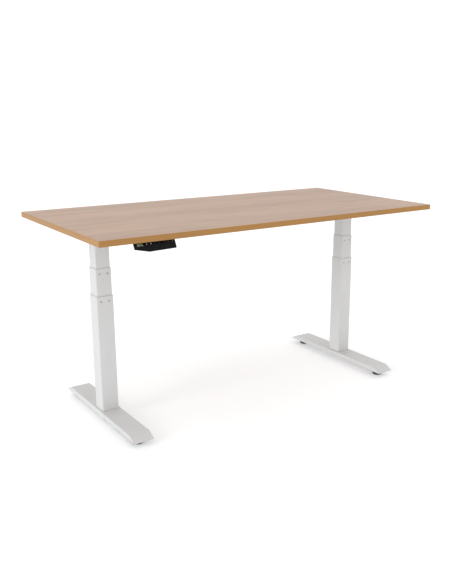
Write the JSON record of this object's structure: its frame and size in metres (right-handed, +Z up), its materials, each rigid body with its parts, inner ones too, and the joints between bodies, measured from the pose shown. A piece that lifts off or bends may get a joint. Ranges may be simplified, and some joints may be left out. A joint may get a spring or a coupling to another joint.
{
  "type": "height adjustable standing desk",
  "caption": "Electric sit-stand desk: wood-look rectangular top on two white three-stage telescopic columns with flat T-feet, and a black key handset under the front edge.",
  "frame": {"origin": "on the floor, under the centre of the top", "axes": "+X along the desk to the user's right as they sit at it, +Y from the user to the back edge, +Z up"},
  "size_m": [1.6, 0.8, 0.82],
  "materials": {
    "laminate": "satin wood-look laminate, straight grain along the length",
    "edge_band": "golden brown plastic edge band",
    "white_steel": "white powder coat, fine texture",
    "bare_steel": "bare steel, lightly oiled",
    "cast_metal": "die cast, as cast",
    "black_plastic": "fine textured black plastic",
    "gloss_black": "gloss black",
    "display_glass": "smoked clear window over a lit display",
    "glide_plastic": "grey low-friction plastic",
    "circuit_green": "green circuit board",
    "cable_black": "black cable sheath",
    "rubber": "black moulded pad"
  },
  "bodies": {
    "left_base": {"left_foot": "white_steel", "left_lower_tube": "white_steel", "left_lower_bush": "glide_plastic", "left_base_plate": "bare_steel", "left_fixed_spindle": "bare_steel"},
    "left_middle": {"left_middle_tube": "white_steel", "left_middle_bush": "glide_plastic", "left_spindle_carrier": "bare_steel"},
    "top": {"tabletop_board": "laminate", "front_edge_band": "edge_band", "back_edge_band": "edge_band", "left_edge_band": "edge_band", "right_edge_band": "edge_band", "front_rail": "white_steel", "back_rail": "white_steel", "control_box_base": "black_plastic", "control_box_cover": "black_plastic", "control_board": "circuit_green", "mains_inlet": "black_plastic", "left_motor_lead": "cable_black", "right_motor_lead": "cable_black", "handset_lead": "cable_black", "handset_shell": "black_plastic", "handset_fascia": "gloss_black", "handset_window": "display_glass", "handset_board": "circuit_green", "left_side_bracket": "white_steel", "left_column_head": "white_steel", "left_gearbox": "cast_metal", "left_motor": "bare_steel", "left_upper_tube": "white_steel", "right_side_bracket": "white_steel", "right_column_head": "white_steel", "right_gearbox": "cast_metal", "right_motor": "bare_steel", "right_upper_tube": "white_steel"},
    "right_middle": {"right_middle_tube": "white_steel", "right_middle_bush": "glide_plastic", "right_spindle_carrier": "bare_steel"},
    "right_base": {"right_foot": "white_steel", "right_lower_tube": "white_steel", "right_lower_bush": "glide_plastic", "right_base_plate": "bare_steel", "right_fixed_spindle": "bare_steel"},
    "left_drive": {"left_drive_spindle": "bare_steel"},
    "left_hollow": {"left_hollow_spindle": "bare_steel"},
    "right_drive": {"right_drive_spindle": "bare_steel"},
    "right_hollow": {"right_hollow_spindle": "bare_steel"},
    "left_front_leveller": {"left_front_levelling_foot": "rubber"},
    "left_back_leveller": {"left_back_levelling_foot": "rubber"},
    "right_front_leveller": {"right_front_levelling_foot": "rubber"},
    "right_back_leveller": {"right_back_levelling_foot": "rubber"},
    "key_up": {"key_up": "gloss_black"},
    "key_down": {"key_down": "gloss_black"},
    "key_preset_1": {"key_preset_1": "gloss_black"},
    "key_preset_2": {"key_preset_2": "gloss_black"},
    "key_preset_3": {"key_preset_3": "gloss_black"},
    "key_preset_4": {"key_preset_4": "gloss_black"},
    "key_save": {"key_save": "gloss_black"}
  },
  "joints": [
    {"name": "left_lower_stage", "type": "slide", "parent": "left_base", "child": "left_middle", "axis": [0, 0, 1], "range_m": [-0.094, 0.231]},
    {"name": "left_upper_stage", "type": "slide", "parent": "left_middle", "child": "top", "axis": [0, 0, 1], "range_m": [-0.094, 0.231]},
    {"name": "right_upper_stage", "type": "slide", "parent": "top", "child": "right_middle", "axis": [0, 0, -1], "range_m": [-0.094, 0.231]},
    {"name": "right_lower_stage", "type": "slide", "parent": "right_middle", "child": "right_base", "axis": [0, 0, -1], "range_m": [-0.094, 0.231]},
    {"name": "left_drive_spin", "type": "hinge", "parent": "top", "child": "left_drive", "pos_m": [-0.634, 0, 0.5], "axis": [0, 0, 1], "range_deg": [-5641, 13861]},
    {"name": "left_hollow_spin", "type": "hinge", "parent": "left_middle", "child": "left_hollow", "pos_m": [-0.634, 0, 0.4], "axis": [0, 0, 1], "range_deg": [-2821, 6931]},
    {"name": "right_drive_spin", "type": "hinge", "parent": "top", "child": "right_drive", "pos_m": [0.634, 0, 0.5], "axis": [0, 0, 1], "range_deg": [-5641, 13861]},
    {"name": "right_hollow_spin", "type": "hinge", "parent": "right_middle", "child": "right_hollow", "pos_m": [0.634, 0, 0.4], "axis": [0, 0, 1], "range_deg": [-2821, 6931]},
    {"name": "left_front_level", "type": "slide", "parent": "left_base", "child": "left_front_leveller", "axis": [0, 0, 1], "range_m": [-0.01, 0.003]},
    {"name": "left_back_level", "type": "slide", "parent": "left_base", "child": "left_back_leveller", "axis": [0, 0, 1], "range_m": [-0.01, 0.003]},
    {"name": "right_front_level", "type": "slide", "parent": "right_base", "child": "right_front_leveller", "axis": [0, 0, 1], "range_m": [-0.01, 0.003]},
    {"name": "right_back_level", "type": "slide", "parent": "right_base", "child": "right_back_leveller", "axis": [0, 0, 1], "range_m": [-0.01, 0.003]},
    {"name": "key_up_press", "type": "slide", "parent": "top", "child": "key_up", "axis": [0, 0.887, -0.4617], "range_m": [0, 0.0008], "stiffness_N_per_m": 1000, "springref_m": -0.001},
    {"name": "key_down_press", "type": "slide", "parent": "top", "child": "key_down", "axis": [0, 0.887, -0.4617], "range_m": [0, 0.0008], "stiffness_N_per_m": 1000, "springref_m": -0.001},
    {"name": "key_preset_1_press", "type": "slide", "parent": "top", "child": "key_preset_1", "axis": [0, 0.887, -0.4617], "range_m": [0, 0.0008], "stiffness_N_per_m": 1000, "springref_m": -0.001},
    {"name": "key_preset_2_press", "type": "slide", "parent": "top", "child": "key_preset_2", "axis": [0, 0.887, -0.4617], "range_m": [0, 0.0008], "stiffness_N_per_m": 1000, "springref_m": -0.001},
    {"name": "key_preset_3_press", "type": "slide", "parent": "top", "child": "key_preset_3", "axis": [0, 0.887, -0.4617], "range_m": [0, 0.0008], "stiffness_N_per_m": 1000, "springref_m": -0.001},
    {"name": "key_preset_4_press", "type": "slide", "parent": "top", "child": "key_preset_4", "axis": [0, 0.887, -0.4617], "range_m": [0, 0.0008], "stiffness_N_per_m": 1000, "springref_m": -0.001},
    {"name": "key_save_press", "type": "slide", "parent": "top", "child": "key_save", "axis": [0, 0.887, -0.4617], "range_m": [0, 0.0008], "stiffness_N_per_m": 1000, "springref_m": -0.001}
  ],
  "couplings": [
    {"joint": "left_upper_stage", "follows": "left_lower_stage", "ratio": 1},
    {"joint": "right_upper_stage", "follows": "left_lower_stage", "ratio": 1},
    {"joint": "right_lower_stage", "follows": "left_lower_stage", "ratio": 1},
    {"joint": "left_drive_spin", "follows": "left_lower_stage", "rad_per_m": 1047.2},
    {"joint": "left_hollow_spin", "follows": "left_lower_stage", "rad_per_m": 523.6},
    {"joint": "right_drive_spin", "follows": "left_lower_stage", "rad_per_m": 1047.2},
    {"joint": "right_hollow_spin", "follows": "left_lower_stage", "rad_per_m": 523.6}
  ]
}
